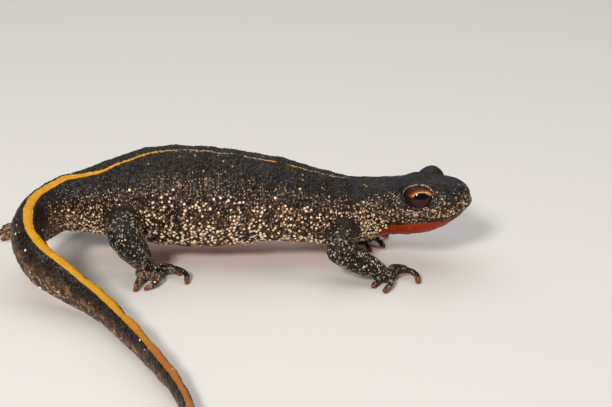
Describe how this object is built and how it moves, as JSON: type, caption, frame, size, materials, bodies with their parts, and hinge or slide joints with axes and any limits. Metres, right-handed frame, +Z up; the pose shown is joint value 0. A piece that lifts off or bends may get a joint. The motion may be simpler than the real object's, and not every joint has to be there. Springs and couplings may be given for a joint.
{
  "type": "balkan crested newt",
  "caption": "Life-size still model of a crested newt standing with a raised head, a granular warty body and a keeled tail curled round beside it.",
  "frame": {"origin": "centre of the part's plan box, on the floor that the soles and the tail rest on", "axes": "+X along the trunk towards the head, +Y towards the animal's left side, +Z up"},
  "size_m": [0.0875, 0.0734, 0.0201],
  "materials": {
    "skin": "moist granular skin, dark slate with cream tubercles, a yellow back stripe and an orange throat",
    "eye": "wet, clear glossy surface over a copper-gold iris and a dark pupil"
  },
  "bodies": {
    "root": {"head": "skin", "neck": "skin", "torso": "skin", "pelvis": "skin", "tail_base": "skin", "tail_bend": "skin", "tail_middle": "skin", "tail_end": "skin", "tail_tip": "skin", "upper_arm_right": "skin", "forearm_right": "skin", "hand_right": "skin", "thigh_right": "skin", "shank_right": "skin", "foot_right": "skin", "upper_arm_left": "skin", "forearm_left": "skin", "hand_left": "skin", "thigh_left": "skin", "shank_left": "skin", "foot_left": "skin", "eye_left": "eye", "eye_right": "eye"}
  },
  "joints": []
}
